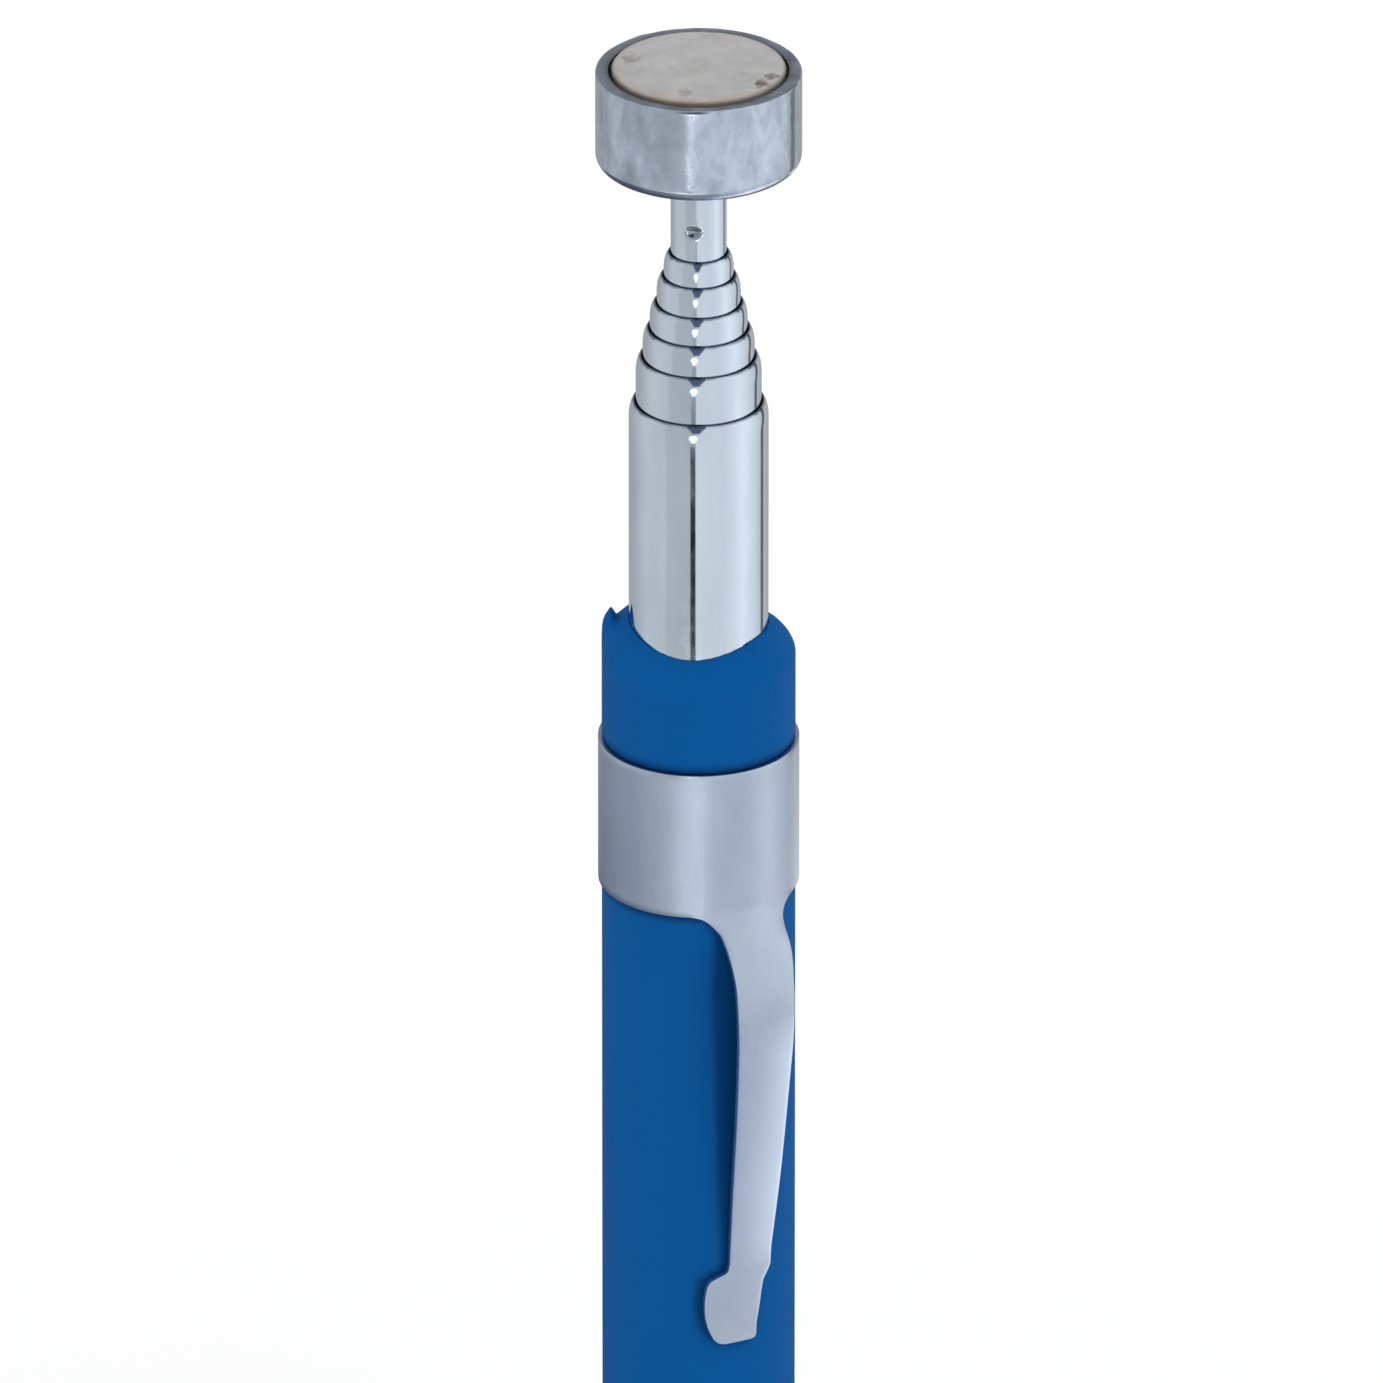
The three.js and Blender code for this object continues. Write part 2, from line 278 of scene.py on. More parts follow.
def uneven(angle, height, size, seed):
    """Smooth noise from -1 to 1 round the tool, for wear and hand-cut edges."""
    return noise.noise(Vector((math.cos(angle) / size, math.sin(angle) / size, height + seed)))


# ---- Shader helpers -----------------------------------------------------------------------------
class Finish:
    """One procedural material, with the few nodes that these finishes share."""

    def __init__(self, name, color, roughness, metallic=0.0):
        self.material = bpy.data.materials.new(name)
        self.material.use_nodes = True
        self.tree = self.material.node_tree
        self.shader = self.tree.nodes["Principled BSDF"]
        self.set(self.shader, {"Base Color": (*color, 1), "Roughness": roughness, "Metallic": metallic})
        self.place = self.node("ShaderNodeTexCoord").outputs["Object"]

    def node(self, kind, values=None, **settings):
        made = self.tree.nodes.new(kind)
        for key, value in settings.items():
            setattr(made, key, value)
        self.set(made, values or {})
        return made

    def set(self, node, values):
        for key, value in values.items():
            if isinstance(value, bpy.types.NodeSocket):
                self.tree.links.new(value, node.inputs[key])
            else:
                node.inputs[key].default_value = value

    def noise(self, size, detail=3.0, stretch=(1, 1, 1), rough=0.5, distortion=0.0):
        """Noise whose features are about size across, made longer along each axis by stretch."""
        scaled = self.node(
            "ShaderNodeMapping",
            {"Vector": self.place, "Scale": tuple(1 / (size * s) for s in stretch)},
        )
        made = self.node(
            "ShaderNodeTexNoise",
            {
                "Vector": scaled.outputs[0],
                "Scale": 1.0,
                "Detail": detail,
                "Roughness": rough,
                "Distortion": distortion,
            },
        )
        return made.outputs[0]

    def ramp(self, value, stops):
        """value through a colour ramp of (position, colour or grey) stops."""
        made = self.node("ShaderNodeValToRGB", {"Fac": value})
        elements = made.color_ramp.elements
        while len(elements) < len(stops):
            elements.new(0.5)
        for element, (position, shade) in zip(elements, sorted(stops, key=lambda stop: stop[0])):
            element.position = position
            element.color = (*shade, 1) if isinstance(shade, tuple) else (shade, shade, shade, 1)
        return made.outputs["Color"]

    def fit(self, value, low, high, to_low, to_high):
        made = self.node(
            "ShaderNodeMapRange",
            {"Value": value, "From Min": low, "From Max": high, "To Min": to_low, "To Max": to_high},
        )
        return made.outputs[0]

    def math(self, operation, first, second=0.0):
        made = self.node("ShaderNodeMath", operation=operation)
        self.set(made, {0: first, 1: second})
        return made.outputs[0]

    def mix(self, amount, under, over):
        """Colour over on colour under."""
        made = self.node("ShaderNodeMix", data_type="RGBA")
        self.set(made, {0: amount, 6: under, 7: over})
        return made.outputs[2]

    def dirt_and_shade(self, strength):
        """How much darker this point of the mesh is painted, for dirt and for painted shade, for a mesh
        that carries any.
        """
        darkening = self.node("ShaderNodeAttribute", attribute_name="dirt_and_shade").outputs["Fac"]
        return self.math("MULTIPLY", darkening, strength)

    def bump(self, height, distance, below=None):
        made = self.node("ShaderNodeBump", {"Strength": 1.0, "Distance": distance, "Height": height})
        if below:
            self.set(made, {"Normal": below})
        return made.outputs[0]

    def spot(self, x, y, size):
        """1 at the point (x, y), seen along Z, falling to 0 at size from it, with a ragged edge."""
        offset = self.node("ShaderNodeVectorMath", {0: self.place, 1: (x, y, 0)}, operation="SUBTRACT")
        flat = self.node("ShaderNodeVectorMath", {0: offset.outputs[0], 1: (1, 1, 0)}, operation="MULTIPLY")
        far = self.node("ShaderNodeVectorMath", {0: flat.outputs[0]}, operation="LENGTH")
        wobble = self.fit(self.noise(0.5 * MM), 0.3, 0.7, -0.5 * size, 0.5 * size)
        return self.fit(self.math("ADD", far.outputs["Value"], wobble), 0.4 * size, size, 1, 0)

    def shade(self, **sockets):
        self.set(self.shader, {key.replace("_", " "): value for key, value in sockets.items()})
        return self.material


def grey(value):
    return (value, value, value)


def tinted(color, factor):
    return tuple(min(channel * factor, 1) for channel in color)


# ---- Finishes -----------------------------------------------------------------------------------
# Rust spots on the magnet's face: how far right of the middle and towards the front, size and strength.
STAINS = [
    (4.45 * MM, 2.85 * MM, 0.75 * MM, 0.8),
    (5.15 * MM, 1.7 * MM, 0.65 * MM, 0.7),
    (-4.9 * MM, -1.3 * MM, 0.9 * MM, 0.35),
    (-1.0 * MM, 4.4 * MM, 0.7 * MM, 0.3),
]


def bright_plating():
    color = (0.75, 0.86, 0.985)
    finish = Finish("bright_plating", color, 0.08, 1)
    cloud = finish.noise(2.5 * MM, detail=5, stretch=(1, 1, 3), rough=0.6)
    drawn = finish.noise(0.09 * MM, detail=2, stretch=(1, 1, 120))
    smudge = finish.noise(1.6 * MM, detail=6, rough=0.65)
    plain = finish.ramp(cloud, [(0.3, tinted(color, 0.93)), (0.65, tinted(color, 1.02))])
    # The darker colour from the mesh is painted shade: round the tubes' rolled lips and in the rod's
    # dimple.
    return finish.shade(
        Base_Color=finish.mix(finish.dirt_and_shade(0.8), plain, (0.06, 0.075, 0.11, 1)),
        Roughness=finish.fit(smudge, 0.35, 0.7, 0.045, 0.11),
        Normal=finish.bump(drawn, 0.0003 * MM),
    )


def cup_plating():
    color = (0.585, 0.67, 0.80)
    finish = Finish("cup_plating", color, 0.2, 1)
    blotch = finish.noise(2.0 * MM, detail=5, stretch=(1, 1, 1.8), rough=0.6, distortion=0.4)
    speckle = finish.noise(0.5 * MM, detail=4, rough=0.7)
    fine = finish.noise(0.25 * MM, detail=3)
    shades = [(0.3, tinted(color, 0.68)), (0.5, tinted(color, 0.95)), (0.68, tinted(color, 1.2))]
    plain = finish.ramp(blotch, shades)
    specks = finish.fit(speckle, 0.6, 0.75, 0, 0.35)
    speckled = finish.mix(specks, plain, (0.3, 0.32, 0.36, 1))
    relief = finish.bump(blotch, 0.03 * MM)
    # The darker colour from the mesh is painted shade on the cup's foot and by the magnet, and dirt in
    # patches on the rim.
    return finish.shade(
        Base_Color=finish.mix(finish.dirt_and_shade(0.7), speckled, (0.09, 0.1, 0.13, 1)),
        Roughness=finish.fit(blotch, 0.3, 0.7, 0.24, 0.12),
        Normal=finish.bump(fine, 0.003 * MM, relief),
    )


def magnet_plating():
    color = (0.555, 0.549, 0.548)
    finish = Finish("magnet_plating", color, 0.5, 0.35)
    cloud = finish.noise(2 * MM, detail=6, rough=0.65)
    grain = finish.noise(0.12 * MM, detail=3)
    plain = finish.ramp(cloud, [(0.3, tinted(color, 0.86)), (0.7, tinted(color, 1.08))])
    flat = finish.node("ShaderNodeVectorMath", {0: finish.place, 1: (1, 1, 0)}, operation="MULTIPLY")
    out = finish.node("ShaderNodeVectorMath", {0: flat.outputs[0]}, operation="LENGTH").outputs["Value"]
    near_edge = finish.fit(out, 4.9 * MM, 6.1 * MM, 0, 1)
    towards = (math.cos(FRONT - 0.25), math.sin(FRONT - 0.25), 0)
    side = finish.node("ShaderNodeVectorMath", {0: finish.place, 1: towards}, operation="DOT_PRODUCT")
    worn_side = finish.fit(side.outputs["Value"], -2 * MM, 6 * MM, 0.15, 1)
    patchy = finish.fit(finish.noise(1.1 * MM, detail=4, rough=0.6), 0.35, 0.6, 0.2, 1)
    rust = finish.math("MULTIPLY", finish.math("MULTIPLY", near_edge, worn_side), patchy)
    colored = finish.mix(finish.math("MULTIPLY", rust, 0.75), plain, (0.5, 0.37, 0.25, 1))
    # A painted shade: a dark ring round the magnet's edge, where it meets the resin ring.
    colored = finish.mix(finish.fit(out, 5.95 * MM, 6.2 * MM, 0, 0.7), colored, (0.15, 0.12, 0.1, 1))
    for right, forward, size, strength in STAINS:
        x = right * math.cos(CAMERA_AZIMUTH) + forward * math.cos(FRONT)
        y = right * math.sin(CAMERA_AZIMUTH) + forward * math.sin(FRONT)
        stain = finish.math("MULTIPLY", finish.spot(x, y, size), strength)
        colored = finish.mix(stain, colored, (0.13, 0.085, 0.06, 1))
    return finish.shade(
        Base_Color=colored,
        Roughness=finish.fit(cloud, 0.3, 0.7, 0.42, 0.58),
        Normal=finish.bump(grain, 0.008 * MM),
    )


def rusty_resin():
    finish = Finish("rusty_resin", (0.03, 0.024, 0.02), 0.7)
    patches = finish.noise(0.8 * MM, detail=4)
    return finish.shade(
        Base_Color=finish.ramp(patches, [(0.4, (0.014, 0.012, 0.012)), (0.75, (0.16, 0.07, 0.03))]),
        Normal=finish.bump(patches, 0.05 * MM),
        Specular_IOR_Level=0.2,
    )


def clip_steel():
    color = (0.556, 0.65, 0.79)
    finish = Finish("clip_steel", color, 0.29, 1)
    grain = finish.noise(0.07 * MM, detail=3, stretch=(1, 1, 30))
    cloud = finish.noise(3 * MM, detail=4, stretch=(1, 1, 2))
    return finish.shade(
        Base_Color=finish.ramp(cloud, [(0.3, tinted(color, 0.95)), (0.7, tinted(color, 1.05))]),
        Roughness=finish.fit(grain, 0.3, 0.7, 0.27, 0.33),
        Normal=finish.bump(grain, 0.0012 * MM),
    )


def blue_vinyl():
    color = (0.0018, 0.083, 0.288)
    finish = Finish("blue_vinyl", color, 0.6)
    cloud = finish.noise(5 * MM, detail=3, stretch=(1, 1, 3))
    pebble = finish.noise(0.3 * MM, detail=3, rough=0.6)
    dip = finish.noise(6 * MM, detail=1, stretch=(1, 1, 2))
    shallow = finish.bump(dip, 0.1 * MM)
    plain = finish.ramp(cloud, [(0.3, tinted(color, 0.97)), (0.7, tinted(color, 1.03))])
    # The darker colour from the mesh is painted shadow round the clip.
    return finish.shade(
        Base_Color=finish.mix(finish.dirt_and_shade(0.75), plain, (0.0008, 0.02, 0.075, 1)),
        Roughness=finish.fit(pebble, 0.3, 0.7, 0.52, 0.66),
        Normal=finish.bump(pebble, 0.006 * MM, shallow),
        Specular_IOR_Level=0.03,
    )


def turned_metal(name, color, roughness):
    finish = Finish(name, color, roughness, 1)
    rings = finish.noise(0.08 * MM, detail=2, stretch=(60, 60, 1))
    return finish.shade(
        Base_Color=finish.ramp(rings, [(0.3, tinted(color, 0.85)), (0.7, tinted(color, 1.1))]),
        Roughness=finish.fit(rings, 0.3, 0.7, roughness - 0.06, roughness + 0.08),
        Normal=finish.bump(rings, 0.002 * MM),
    )


FINISHES = {
    "tube_plating": bright_plating(),
    "cup_plating": cup_plating(),
    "magnet_plating": magnet_plating(),
    "epoxy": rusty_resin(),
    "clip_steel": clip_steel(),
    "grip_vinyl": blue_vinyl(),
    "spring_bronze": turned_metal("spring_bronze", (0.62, 0.4, 0.17), 0.3),
    "plug_steel": turned_metal("plug_steel", (0.5, 0.52, 0.55), 0.35),
}


def dress(piece, slot, body, *nodes):
    """A finished piece in its material, riding on its body in place of these CAD nodes."""
    piece.data.materials.append(FINISHES[slot])
    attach(piece, body)
    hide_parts(*nodes)


# ---- Telescopic tubes ---------------------------------------------------------------------------
def mouth_outline(outer, mouth):
    """The rolled-in mouth, from the full radius to the hole's inner edge, with a soft lip."""
    hole = outer - RADIUS_STEP + MOUTH_GAP
    start = Vector((outer, mouth - MOUTH_ROLL))
    bend = Vector((outer, mouth - 0.3 * MOUTH_ROLL))
    end = Vector((hole + LIP, mouth))
    points = [(outer, mouth - MOUTH_ROLL - MOUTH_LAND)]
    for step in range(MOUTH_STEPS + 1):
        t = step / MOUTH_STEPS
        points.append(tuple(start * (1 - t) ** 2 + bend * 2 * t * (1 - t) + end * t * t))
    points += [
        (hole + LIP_EDGE, mouth),
        (hole + 0.3 * LIP_EDGE, mouth - 0.3 * LIP_EDGE),
        (hole, mouth - LIP_EDGE),
        (hole, mouth - 0.4 * MOUTH_ROLL),
    ]
    return points


def flared_foot(outer, base):
    """The outside of a section's flared lower end, up to its plain radius."""
    wide = outer + FLARE
    return [(wide, base), (wide, base + FLARE_HEIGHT), (outer, base + FLARE_HEIGHT)]


def tube(node, flared):
    """One tube with its rolled-in mouth. The sections that slide are flared at the lower end."""
    outer, mouth, base = radius(node), top(node), foot(node)
    lower = [(outer, base)]
    if flared:
        outer -= FLARE
        lower = flared_foot(outer, base)
    bore, hole = outer - TUBE_WALL, outer - RADIUS_STEP + MOUTH_GAP
    outline = lower + mouth_outline(outer, mouth) + [(bore, mouth - MOUTH_ROLL), (bore, base)]

    def shaded_lip(r, z, angle):
        """Painted shade darkens the lip round the hole that the next section slides through."""
        if z < mouth - 0.5 * MOUTH_ROLL:
            return 0
        spread = 0.04 * MM * uneven(angle, mouth / MM, size=0.2, seed=0.0)
        return 1 - smoothstep(hole + LIP_SHADE_FROM, hole + LIP_SHADE_TO, r + spread)

    return turned(node.replace("_tube", "_shell"), outline, dirt_and_shade=shaded_lip)


def rod():
    """The innermost tube, with the crimp that holds it on the head's stud."""
    node = "section_6_tube"
    outer, mouth, base = radius(node) - FLARE, top(node), foot(node)
    bore = outer - ROD_WALL
    crimp = foot("magnet_cup") - CRIMP_BELOW_CUP
    outline = flared_foot(outer, base)
    outline.append((outer, crimp - CRIMP_SPAN * 2 / 3))
    outline += [(outer, crimp + (k / CRIMP_ROWS - 0.5) * CRIMP_SPAN) for k in range(CRIMP_ROWS + 1)]
    outline += [(outer, mouth), (bore, mouth), (bore, base)]

    def from_crimp(z, angle):
        """0 in the middle of the crimp and 1 at its edge."""
        across = turn_between(angle, CRIMP_ANGLE) * outer / CRIMP_RADIUS
        return math.hypot(across, (z - crimp) / CRIMP_HALF_HEIGHT)

    def dimple(r, z, angle):
        if r < outer - 0.01 * MM:
            return r, z
        return r - CRIMP_DEPTH * (1 - smoothstep(0, 1, from_crimp(z, angle))), z

    # Painted shade darkens the crimp's dimple, most in its middle.
    def shaded_dimple(r, z, angle):
        return 0.7 * (1 - smoothstep(0.45, 1.1, from_crimp(z, angle)))

    return turned("rod_shell", outline, dimple, shaded_dimple, 2 * SEGMENTS)


dress(tube("barrel_tube", False), "tube_plating", "handle", "barrel_tube")
for number in range(1, 6):
    name = f"section_{number}_tube"
    dress(tube(name, True), "tube_plating", f"section_{number}", name)
dress(rod(), "tube_plating", "section_6", "section_6_tube")


# ---- Magnet head --------------------------------------------------------------------------------
def magnet_cup():
    outer, rim, base = radius("magnet_cup"), top("magnet_cup"), foot("magnet_cup")
    inner, floor = outer - CUP_WALL, base + CUP_FLOOR
    seat = floor - STUD_SEAT_DEPTH
    outline = rounded([
        (CUP_BORE, base, 0.06 * MM), (outer, base, CUP_FOOT_RADIUS), (outer, rim, 0.24 * MM),
        (inner, rim, 0.1 * MM), (inner, floor, 0), (STUD_SEAT_RADIUS, floor, 0),
        (STUD_SEAT_RADIUS, seat, 0), (CUP_BORE, seat, 0),
    ], steps=8)

    def worn(r, z, angle):
        edge = smoothstep(rim - 0.5 * MM, rim, z) * (0.2 if r < inner + 0.1 * MM else 1)
        nick = 0.03 * MM * uneven(angle, z / MM, size=0.12, seed=3.0)
        nick += 0.02 * MM * uneven(angle, 0, size=0.5, seed=8.0)
        return r + 0.5 * nick * edge, z + nick * edge

    def grime_and_shade(r, z, angle):
        """Painted shade on the cup's rounded foot; on its rim, dirt in patches and painted shade by the
        magnet.
        """
        off_side = 1 - smoothstep(outer - 0.25 * MM, outer - 0.05 * MM, r)
        on_rim = smoothstep(rim - 0.3 * MM, rim - 0.1 * MM, z) * off_side
        inside = 1 - smoothstep(inner + 0.1 * MM, inner + 0.5 * MM, r)
        on_foot = 0.5 * (1 - smoothstep(base + 0.1 * MM, base + CUP_FOOT_RADIUS, z))
        return on_foot + on_rim * (0.14 + 0.5 * inside + 0.5 * uneven(angle, r / MM, size=0.3, seed=14.0))

    return turned("cup_shell", refined(outline, 0.3 * MM), worn, grime_and_shade, 2 * SEGMENTS)


def magnet_disc():
    outer, face, base = radius("magnet_disc"), top("magnet_disc"), foot("magnet_disc")
    outline = rounded([
        (0, base, 0), (outer, base, 0.05 * MM), (outer, face, 0.12 * MM), (0, face, 0),
    ], steps=5)

    def worn(r, z, angle):
        edge = smoothstep(outer - 0.5 * MM, outer, r) * smoothstep(face - 0.5 * MM, face, z)
        chip = 0.05 * MM * min(0, uneven(angle, 0, size=0.1, seed=21.0) + 0.1)
        return r + chip * edge, z + 0.6 * chip * edge

    return turned("magnet_shell", refined(outline, 0.35 * MM), worn)


def glue_ring():
    outer, face, base = radius("magnet_glue_ring"), top("magnet_glue_ring"), foot("magnet_glue_ring")
    inner = radius("magnet_disc") + 0.02 * MM
    sunk = ((outer + inner) / 2, face - 0.05 * MM)
    outline = [(outer, base), (outer, face), sunk, (inner, face), (inner, base)]

    def lumpy(r, z, angle):
        return r, z + (0.04 * MM * uneven(angle, r / MM, size=0.06, seed=5.0) if z > base + MM else 0)

    return turned("resin_ring", outline, lumpy)


dress(magnet_cup(), "cup_plating", "section_6", "magnet_cup")
dress(magnet_disc(), "magnet_plating", "section_6", "magnet_disc")
dress(glue_ring(), "epoxy", "section_6", "magnet_glue_ring")


# ---- Outline of the clip arm --------------------------------------------------------------------
# One stamped sheet. Its arm as functions of height, in millimetres: the radius of the outer face, and
# how far its left and right edges are from the arm's middle, measured round the band.
ARM_FACE = [
    (37.5, 7.64), (38.5, 7.57), (40, 7.52), (43.2, 7.52), (44.5, 7.6), (46, 7.78), (48, 8.07), (52, 8.68),
    (56, 9.22), (60, 9.66), (62, 9.83), (64, 9.91), (65.5, 9.85), (67, 9.6), (68.2, 9.18), (69, 8.72),
    (69.8, 8.08), (70.5, 7.56), (71.1, 7.29), (71.4, 7.22),
]
ARM_LEFT = [
    (37.5, -2.1), (37.56, -2.46), (37.8, -2.82), (38.1, -3.02), (38.4, -3.17), (39.05, -3.4), (39.7, -3.54),
    (40.3, -3.59), (40.95, -3.58), (41.6, -3.5), (42, -3.42), (42.3, -3.3), (42.55, -3.12), (42.75, -2.8),
    (42.9, -2.4), (43.02, -2.05), (43.2, -1.81), (43.5, -1.72), (44.1, -1.7), (46, -1.74), (50, -1.89),
    (56, -2.05), (62, -2.2), (66, -2.31), (67, -2.25), (68.2, -2.15), (68.8, -2.13), (69.3, -2.13),
    (69.6, -2.17), (70.1, -2.28), (70.3, -2.4), (70.55, -2.62), (70.8, -2.87), (71.1, -3.25),
    (71.3, -3.7), (71.4, -4.3),
]
ARM_RIGHT = [
    (37.5, 0.0), (37.58, 0.26), (37.9, 0.42), (38.5, 0.46), (39.1, 0.57), (39.8, 0.71), (40.4, 0.81),
    (41, 0.89), (41.7, 1.02), (42, 1.1), (42.3, 1.28), (42.6, 1.45), (42.95, 1.63), (43.2, 1.7),
    (44.2, 1.71), (46, 1.82), (50, 1.98), (56, 2.1), (58.5, 2.17), (62, 2.3), (66, 2.36), (68.5, 2.4),
    (69.6, 2.5), (70.3, 2.76), (70.8, 3.23), (71.1, 3.75), (71.3, 4.4), (71.4, 5.2),
]
# How finely the sheet is divided. The arm's outline turns fast in the fine spans, in millimetres: the toe,
# the step above the foot, and the flare at the root.
ARM_COLUMNS = 14
ARM_ROWS_PER_MM = 2.5
FINE_ROWS_PER_MM = 14
FINE_SPANS = [(37.5, 38.5), (41.8, 43.6), (69.4, 71.4)]
BAND_ROWS = 24
BAND_COLUMNS_A_SIDE = 60


def read_curve(pairs, z):
    """The value at height z of a smooth curve through (height, value) pairs, all in millimetres.

    The curve doesn't overshoot its pairs: where they turn back, its slope is 0.
    """
    last = len(pairs) - 2
    i = min(max(0, sum(height <= z for height, _ in pairs) - 1), last)

    def slope(k):
        before, after = pairs[max(k - 1, 0)], pairs[min(k + 1, len(pairs) - 1)]
        here = pairs[k]
        if k in (0, len(pairs) - 1):
            return (after[1] - before[1]) / (after[0] - before[0])
        left = (here[1] - before[1]) / (here[0] - before[0])
        right = (after[1] - here[1]) / (after[0] - here[0])
        return 0 if left * right <= 0 else 2 * left * right / (left + right)

    (z0, v0), (z1, v1) = pairs[i], pairs[i + 1]
    span = z1 - z0
    t = (z - z0) / span
    rise = 3 * t * t - 2 * t * t * t
    from_start = span * slope(i) * (t - 2 * t * t + t * t * t)
    from_end = span * slope(i + 1) * (t * t * t - t * t)
    return v0 + (v1 - v0) * rise + from_start + from_end


# ---- Grip ---------------------------------------------------------------------------------------
def grip_sleeve():
    outer, mouth, base = radius("grip_sleeve"), top("grip_sleeve") + GRIP_LIP_RISE, foot("grip_sleeve")
    bed = radius("clip_band") - CLIP_SHEET - BED_GAP
    bed_top, bed_foot = top("clip_band") + BED_GAP, foot("clip_band") - BED_GAP
    floor = base + GRIP_FLOOR
    wall = outer - GRIP_BORE
    outline = rounded([
        (0, base, 0), (outer, base, GRIP_FOOT_RADIUS),
        (outer, bed_foot, 0.18 * MM), (bed, bed_foot, 0), (bed, bed_top, 0), (outer, bed_top, 0.2 * MM),
        (outer, mouth - GRIP_LIP_HEIGHT, 0),
    ], steps=10)
    for step in range(1, GRIP_LIP_STEPS + 1):
        out = math.cos(step / GRIP_LIP_STEPS * math.pi / 2)
        slope = GRIP_LIP_SLOPE * wall * out
        fall = slope + (GRIP_LIP_HEIGHT - GRIP_LIP_SLOPE * wall) * (1 - math.sqrt(1 - out * out))
        outline.append((GRIP_BORE + wall * out, mouth - fall))
    bore = [(GRIP_BORE, mouth - 0.3 * MM), (GRIP_BORE, floor), (0, floor)]

    def hand_cut(r, z, angle):
        """The mouth was cut by hand: it dips at the front, lies lower behind, and the knife left a nib."""
        share = smoothstep(mouth - 7 * MM, mouth - GRIP_LIP_HEIGHT, z)
        bearing = math.degrees(math.remainder(angle - FRONT, 2 * math.pi))
        dip = sum(depth * swell(bearing, middle, width) for depth, middle, width in CUT_DIPS)
        behind = smoothstep(65, 125, bearing) if bearing > 0 else smoothstep(104, 155, -bearing)
        dip += CUT_BACK_DROP * behind
        step = CUT_STEP * smoothstep(42, 45, bearing) * (1 - smoothstep(45, 75, bearing))
        ripple = 0.06 * MM * uneven(angle, 0, size=0.3, seed=11.0)
        ripple += 0.03 * MM * uneven(angle, 0, size=0.09, seed=4.0)
        nib = NIB_HEIGHT * swell(bearing, NIB_BEARING, NIB_WIDTH)
        nib *= smoothstep(GRIP_BORE + 0.4 * wall, GRIP_BORE + 0.72 * wall, r)
        bulge = 0.05 * MM * uneven(angle, z / (6 * MM), size=0.8, seed=30.0) if bed + BED_GAP < r else 0
        return r + bulge * share, z + (step + ripple + nib - dip) * share

    arm_foot = foot("clip_arm")

    def clip_shade(r, z, angle):
        """Painted shade on the vinyl round the clip: beside its arm, and along the edges of its band."""
        if r < outer - 0.01 * MM or not arm_foot - 2 * MM < z < bed_top + 2 * MM:
            return 0
        distance = math.remainder(angle - ARM_MIDDLE, 2 * math.pi) * outer
        height = min(max(z / MM, ARM_FACE[0][0]), ARM_FACE[-1][0])
        past_left = read_curve(ARM_LEFT, height) * MM - distance
        past_right = distance - read_curve(ARM_RIGHT, height) * MM
        beyond_arm = math.hypot(max(past_left, past_right, 0), height * MM - z)
        beyond_band = max(z - bed_top, bed_foot - z, 0)
        by_arm = 0.75 * (1 - smoothstep(0, ARM_SHADE_REACH, beyond_arm))
        return max(by_arm, 1 - smoothstep(BAND_SHADE_CLEAR, BAND_SHADE_REACH, beyond_band))

    return turned("grip_skin", refined(outline, 0.5 * MM) + bore, hand_cut, clip_shade, 2 * SEGMENTS)


dress(grip_sleeve(), "grip_vinyl", "handle", "grip_sleeve")


# ---- Pocket clip --------------------------------------------------------------------------------
def arm_heights():
    """Heights of the arm's rows in millimetres, from the band down, closer together in the fine spans."""
    z, low = ARM_FACE[-1][0], ARM_FACE[0][0]
    rows = []
    while z > low:
        rows.append(z)
        near = any(a < z <= b + 0.01 for a, b in FINE_SPANS)
        z -= 1 / (FINE_ROWS_PER_MM if near else ARM_ROWS_PER_MM)
    return [*rows[1:], low]


